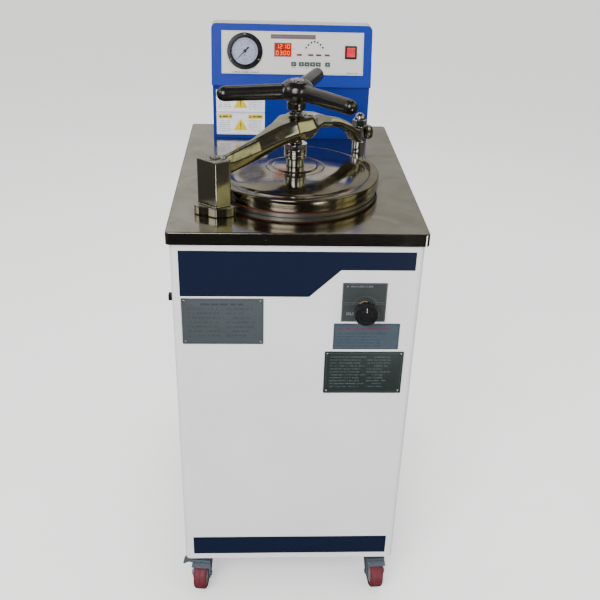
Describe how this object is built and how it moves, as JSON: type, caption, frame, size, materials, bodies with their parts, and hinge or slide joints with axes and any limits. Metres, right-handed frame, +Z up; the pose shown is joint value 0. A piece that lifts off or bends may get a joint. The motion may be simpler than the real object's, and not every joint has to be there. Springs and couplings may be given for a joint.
{
  "type": "vertical autoclave",
  "caption": "Floor-standing top-loading steam steriliser with a screw-clamped swing lid, rear control console, front release valve and swivel castors.",
  "frame": {"origin": "on the floor under the middle of the overall box", "axes": "+Z up, the operator stands on the -Y side facing +Y, +X to their right"},
  "size_m": [0.506, 0.736, 1.2072],
  "materials": {
    "white_enamel": "satin powder coat",
    "blue_enamel": "satin powder coat",
    "grey_enamel": "satin powder coat",
    "black_enamel": "gloss",
    "navy_vinyl": "gloss film",
    "stainless": "polished sheet",
    "polished_steel": "hand-polished casting",
    "chrome_plate": "plated",
    "zinc_steel": "zinc plated",
    "plated_screws": "plated",
    "etched_plate": "etched grey",
    "dark_plate": "anodised dark grey",
    "label_print": "printed film",
    "red_silicone": "moulded",
    "jacket_wool": "glass-wool blanket",
    "heater_sheath": "heat tinted",
    "copper_pipe": "drawn tube",
    "brass": "turned",
    "black_plastic": "moulded",
    "panel_aluminium": "satin overlay",
    "board": "laminate",
    "dial_print": "printed",
    "clear_glass": "clear",
    "red_window": "tinted window, lit from behind",
    "lamp_plastic": "tinted",
    "key_rubber": "moulded",
    "red_rocker": "translucent, lit",
    "red_tyre": "moulded"
  },
  "bodies": {
    "cabinet": {"cabinet_shell": "white_enamel", "rear_panel": "white_enamel", "chassis": "zinc_steel", "worktop": "stainless", "vinyl_stripes": "navy_vinyl", "data_plates": "etched_plate", "round_head_screws": "plated_screws", "valve_scale_plates": "dark_plate", "notice_labels": "label_print", "pressure_vessel": "stainless", "vessel_gasket": "red_silicone", "insulation_jacket": "jacket_wool", "heater_element": "heater_sheath", "heater_guard": "stainless", "drain_pipe": "stainless", "steam_pipes": "copper_pipe", "exhaust_valve": "brass", "safety_valve": "brass", "vessel_probes": "stainless", "cable_gland": "black_plastic", "console_neck": "blue_enamel", "console_head": "blue_enamel", "console_shell": "grey_enamel", "control_panel": "panel_aluminium", "control_board": "board", "gauge_case": "black_enamel", "gauge_dial": "dial_print", "gauge_glass": "clear_glass", "display_window": "red_window", "status_lights": "lamp_plastic", "rocker_frame": "black_plastic", "hinge_bracket": "polished_steel", "hinge_pin": "polished_steel", "latch_post": "chrome_plate", "breaker_body": "black_plastic", "castor_plates": "zinc_steel"},
    "closure_arm": {"swing_arm": "polished_steel"},
    "lid": {"lid": "polished_steel", "thrust_collar": "chrome_plate"},
    "screw": {"clamp_screw": "chrome_plate", "handwheel": "polished_steel"},
    "valve_knob": {"exhaust_knob": "black_plastic"},
    "needle": {"gauge_needle": "black_enamel"},
    "rocker": {"power_rocker": "red_rocker"},
    "breaker_button": {"reset_button": "black_plastic"},
    "castor_brake": {"brake_pedal": "zinc_steel"},
    "button_1": {"key_1": "key_rubber"},
    "button_2": {"key_2": "key_rubber"},
    "button_3": {"key_3": "key_rubber"},
    "button_4": {"key_4": "key_rubber"},
    "button_5": {"key_5": "key_rubber"},
    "button_6": {"key_6": "key_rubber"},
    "castor_front_left": {"fork_front_left": "zinc_steel"},
    "roller_front_left": {"wheel_front_left": "red_tyre"},
    "castor_front_right": {"fork_front_right": "zinc_steel"},
    "roller_front_right": {"wheel_front_right": "red_tyre"},
    "castor_rear_left": {"fork_rear_left": "zinc_steel"},
    "roller_rear_left": {"wheel_rear_left": "red_tyre"},
    "castor_rear_right": {"fork_rear_right": "zinc_steel"},
    "roller_rear_right": {"wheel_rear_right": "red_tyre"}
  },
  "joints": [
    {"name": "arm_swing", "type": "hinge", "parent": "cabinet", "child": "closure_arm", "pos_m": [-0.15549, -0.23277, 1.004], "axis": [0, 0, 1], "range_deg": [0, 110]},
    {"name": "clamp_lift", "type": "slide", "parent": "closure_arm", "child": "lid", "axis": [0, 0, 1], "range_m": [0, 0.016]},
    {"name": "screw_turn", "type": "hinge", "parent": "lid", "child": "screw", "pos_m": [0.003, -0.095, 1.06], "axis": [0, 0, 1], "range_deg": [-10, 730]},
    {"name": "exhaust_knob_turn", "type": "hinge", "parent": "cabinet", "child": "valve_knob", "pos_m": [0.1384, -0.358, 0.778], "axis": [0, -1, 0], "range_deg": [0, 540]},
    {"name": "gauge_needle_swing", "type": "hinge", "parent": "cabinet", "child": "needle", "pos_m": [-0.1087, 0.24484, 1.14831], "axis": [0, 0.9659, -0.2588], "range_deg": [0, 270]},
    {"name": "key_1_press", "type": "slide", "parent": "cabinet", "child": "button_1", "axis": [0, 0.9659, -0.2588], "range_m": [0, 0.001]},
    {"name": "key_2_press", "type": "slide", "parent": "cabinet", "child": "button_2", "axis": [0, 0.9659, -0.2588], "range_m": [0, 0.001]},
    {"name": "key_3_press", "type": "slide", "parent": "cabinet", "child": "button_3", "axis": [0, 0.9659, -0.2588], "range_m": [0, 0.001]},
    {"name": "key_4_press", "type": "slide", "parent": "cabinet", "child": "button_4", "axis": [0, 0.9659, -0.2588], "range_m": [0, 0.001]},
    {"name": "key_5_press", "type": "slide", "parent": "cabinet", "child": "button_5", "axis": [0, 0.9659, -0.2588], "range_m": [0, 0.001]},
    {"name": "key_6_press", "type": "slide", "parent": "cabinet", "child": "button_6", "axis": [0, 0.9659, -0.2588], "range_m": [0, 0.001]},
    {"name": "pedal_press", "type": "hinge", "parent": "castor_front_left", "child": "castor_brake", "pos_m": [-0.22886, -0.29128, 0.074], "axis": [-0.1045, -0.9945, 0], "range_deg": [0, 18]},
    {"name": "power_rocker_tilt", "type": "hinge", "parent": "cabinet", "child": "rocker", "pos_m": [0.1434, 0.24749, 1.14853], "axis": [1, 0, 0], "range_deg": [-16, 0]},
    {"name": "reset_button_press", "type": "slide", "parent": "cabinet", "child": "breaker_button", "axis": [1, 0, 0], "range_m": [0, 0.004]},
    {"name": "swivel_front_left", "type": "hinge", "parent": "cabinet", "child": "castor_front_left", "pos_m": [-0.203, -0.294, 0.084], "axis": [0, 0, 1], "continuous": true},
    {"name": "swivel_front_right", "type": "hinge", "parent": "cabinet", "child": "castor_front_right", "pos_m": [0.209, -0.294, 0.084], "axis": [0, 0, 1], "continuous": true},
    {"name": "swivel_rear_left", "type": "hinge", "parent": "cabinet", "child": "castor_rear_left", "pos_m": [-0.203, 0.286, 0.084], "axis": [0, 0, 1], "continuous": true},
    {"name": "swivel_rear_right", "type": "hinge", "parent": "cabinet", "child": "castor_rear_right", "pos_m": [0.209, 0.286, 0.084], "axis": [0, 0, 1], "continuous": true},
    {"name": "wheel_front_left", "type": "hinge", "parent": "castor_front_left", "child": "roller_front_left", "pos_m": [-0.20572, -0.31986, 0.0375], "axis": [-0.9945, 0.1045, 0], "continuous": true},
    {"name": "wheel_front_right", "type": "hinge", "parent": "castor_front_right", "child": "roller_front_right", "pos_m": [0.21081, -0.31994, 0.0375], "axis": [-0.9976, -0.0698, 0], "continuous": true},
    {"name": "wheel_rear_left", "type": "hinge", "parent": "castor_rear_left", "child": "roller_rear_left", "pos_m": [-0.203, 0.312, 0.0375], "axis": [1, 0, 0], "continuous": true},
    {"name": "wheel_rear_right", "type": "hinge", "parent": "castor_rear_right", "child": "roller_rear_right", "pos_m": [0.209, 0.312, 0.0375], "axis": [1, 0, 0], "continuous": true}
  ],
  "couplings": [
    {"joint": "screw_turn", "follows": "clamp_lift", "rad_per_m": 785.4}
  ]
}
